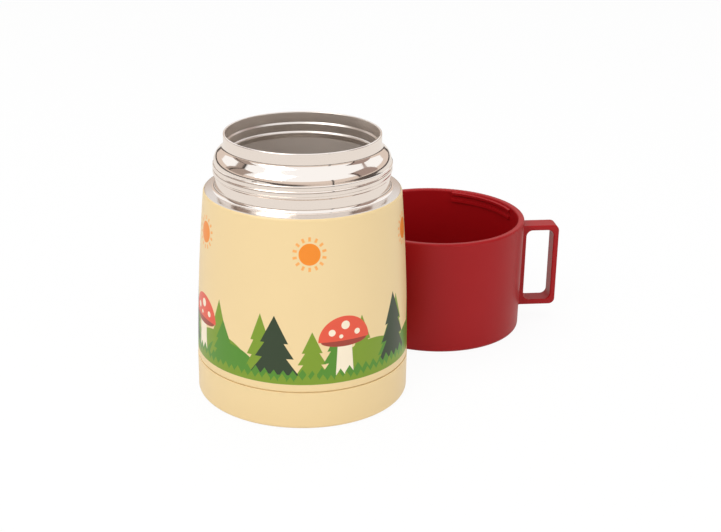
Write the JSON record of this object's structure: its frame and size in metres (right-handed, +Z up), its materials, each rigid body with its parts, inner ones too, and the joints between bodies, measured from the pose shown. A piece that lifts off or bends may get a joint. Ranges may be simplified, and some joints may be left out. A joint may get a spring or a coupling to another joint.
{
  "type": "insulated food jar",
  "caption": "Double-walled steel food jar with a stepped neck, shown open, with its screw-on cup lid standing beside it and its vented stopper behind.",
  "frame": {"origin": "centre of the jar's foot ring, on the surface that it stands on", "axes": "+Z up along the jar's axis, out of its mouth; +X to the viewer's right in the picture and +Y away from the viewer, so the cup stands at +X +Y"},
  "size_m": [0.1807, 0.1771, 0.1188],
  "materials": {
    "painted_shell": "satin cream enamel with a printed band; the neck is bare polished steel",
    "painted_cap": "satin cream enamel",
    "liner_steel": "spun stainless steel",
    "sheet_steel": "bare pressed stainless steel",
    "copper_foil": "thin bright copper",
    "solder_glass": "dark opaque solder glass",
    "getter_metal": "dull sintered metal",
    "cup_plastic": "satin moulded red",
    "stopper_plastic": "matt light grey",
    "button_plastic": "matt red",
    "foam": "closed-cell insulating foam",
    "silicone": "translucent grey silicone, shown opaque",
    "spring_steel": "bright wire"
  },
  "bodies": {
    "jar": {"outer_shell": "painted_shell", "inner_liner": "liner_steel", "liner_bottom": "liner_steel", "radiation_foil": "copper_foil", "vacuum_bottom": "sheet_steel", "seal_bead": "solder_glass", "getter": "getter_metal", "base_cap": "painted_cap"},
    "cup": {"cup_lid": "cup_plastic"},
    "stopper": {"stopper_shell": "stopper_plastic", "stopper_cover": "stopper_plastic", "stopper_foam": "foam", "plug_gasket": "silicone", "rim_gasket": "silicone", "button_spring": "spring_steel"},
    "button": {"valve_button": "button_plastic", "valve_stem": "stopper_plastic", "valve_seal": "silicone"}
  },
  "joints": [
    {"name": "cup_lift", "type": "slide", "parent": "jar", "child": "cup", "axis": [0, 0, 1], "range_m": [0, 0.13]},
    {"name": "stopper_lift", "type": "slide", "parent": "jar", "child": "stopper", "axis": [0, 0, 1], "range_m": [0, 0.13]},
    {"name": "button_press", "type": "slide", "parent": "stopper", "child": "button", "axis": [0, 0, -1], "range_m": [0, 0.0025], "stiffness_N_per_m": 400, "springref_m": -0.003, "deforming": ["button_spring"]}
  ]
}
